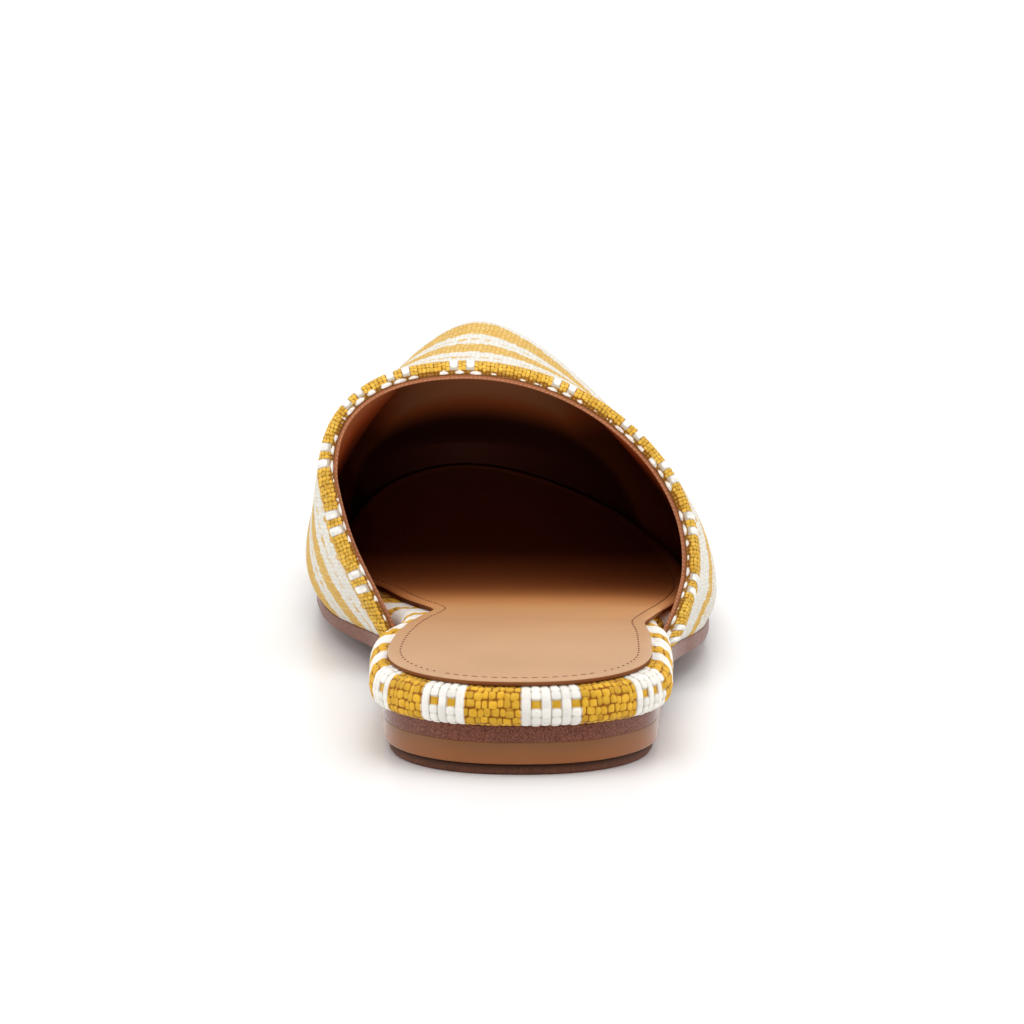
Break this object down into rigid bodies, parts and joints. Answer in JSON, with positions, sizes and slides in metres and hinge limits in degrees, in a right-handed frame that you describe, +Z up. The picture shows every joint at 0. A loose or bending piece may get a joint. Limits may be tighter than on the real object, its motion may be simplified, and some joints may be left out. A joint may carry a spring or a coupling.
{
  "type": "woven mule shoe",
  "caption": "Backless slide mule for the right foot: thick woven cotton upper with a bound topline, cloth-wrapped footbed, leather sock and a low flat heel.",
  "frame": {"origin": "on the floor, at the bottom centre of the shoe's bounding box", "axes": "+Y towards the toe, +X to the lateral (right) side, +Z up"},
  "size_m": [0.0904, 0.255, 0.0668],
  "materials": {
    "sole_leather": "satin",
    "heel_rubber": "smooth",
    "tip_rubber": "matt",
    "footbed_cotton": "matt, woven",
    "tan_leather": "smooth",
    "woven_cotton": "matt, woven",
    "binding_cotton": "matt, woven"
  },
  "bodies": {
    "root": {"outsole": "sole_leather", "heel_lift": "heel_rubber", "heel_tip": "tip_rubber", "footbed": "footbed_cotton", "insole": "tan_leather", "upper": "woven_cotton", "topline_binding": "binding_cotton"}
  },
  "joints": []
}
